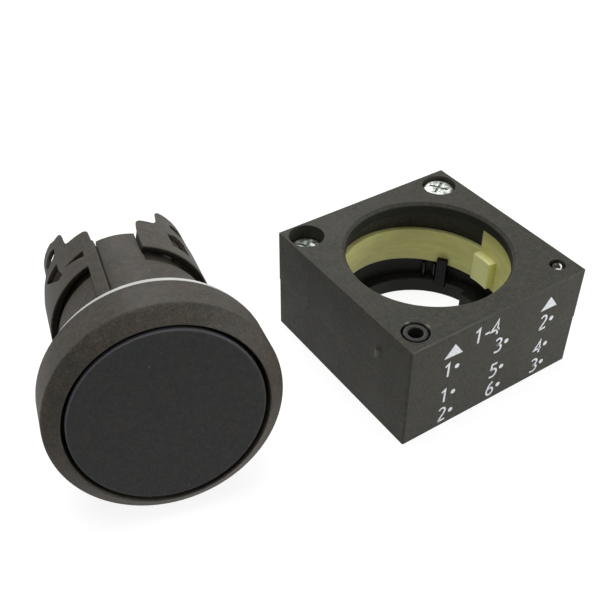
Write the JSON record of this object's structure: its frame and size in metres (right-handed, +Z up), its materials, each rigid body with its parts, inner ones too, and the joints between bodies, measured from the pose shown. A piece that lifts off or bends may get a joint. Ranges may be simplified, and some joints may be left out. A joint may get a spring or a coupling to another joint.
{
  "type": "panel pushbutton",
  "caption": "Round flush panel pushbutton, taken apart: the push head with latch wings lies on its side beside its square rear holder with a bayonet lock ring.",
  "frame": {"origin": "on the holder's bore axis, at its base, where the contact blocks seat", "axes": "+Z up along the holder's bore, +X and +Y along the holder's sides; the head lies at -X with its front towards -Y"},
  "size_m": [0.0722, 0.0457, 0.0289],
  "materials": {
    "case": "fine-grained warm grey moulding",
    "button": "satin dark grey moulding",
    "ring": "yellow-green translucent nylon",
    "steel": "bright zinc plating",
    "brass": "machined brass",
    "gasket": "pale silicone",
    "rubber": "black rubber",
    "stop": "black moulding"
  },
  "bodies": {
    "base": {"holder_front_shell": "case", "holder_rear_shell": "case", "stop_block": "stop", "detent_pins": "steel", "shell_screw_far": "steel", "shell_screw_left": "steel", "screw_inserts": "brass", "clamp_screw": "steel", "clamp_nut": "steel", "locating_bush": "case", "front_bezel": "case", "bezel_seal": "rubber", "panel_gasket": "gasket", "barrel": "case", "latch_wing_left": "case", "latch_wing_right": "case", "return_spring": "steel"},
    "button": {"button_cap": "button", "piston_seal": "rubber", "plunger": "button"},
    "ring": {"lock_ring": "ring"}
  },
  "joints": [
    {"name": "button_press", "type": "slide", "parent": "base", "child": "button", "axis": [0.2447, 0.9566, -0.1582], "range_m": [0, 0.0038], "stiffness_N_per_m": 600, "springref_m": -0.002, "deforming": ["return_spring"]},
    {"name": "lock_turn", "type": "hinge", "parent": "base", "child": "ring", "pos_m": [0, 0, 0.0083], "axis": [0, 0, 1], "range_deg": [0, 20]}
  ]
}
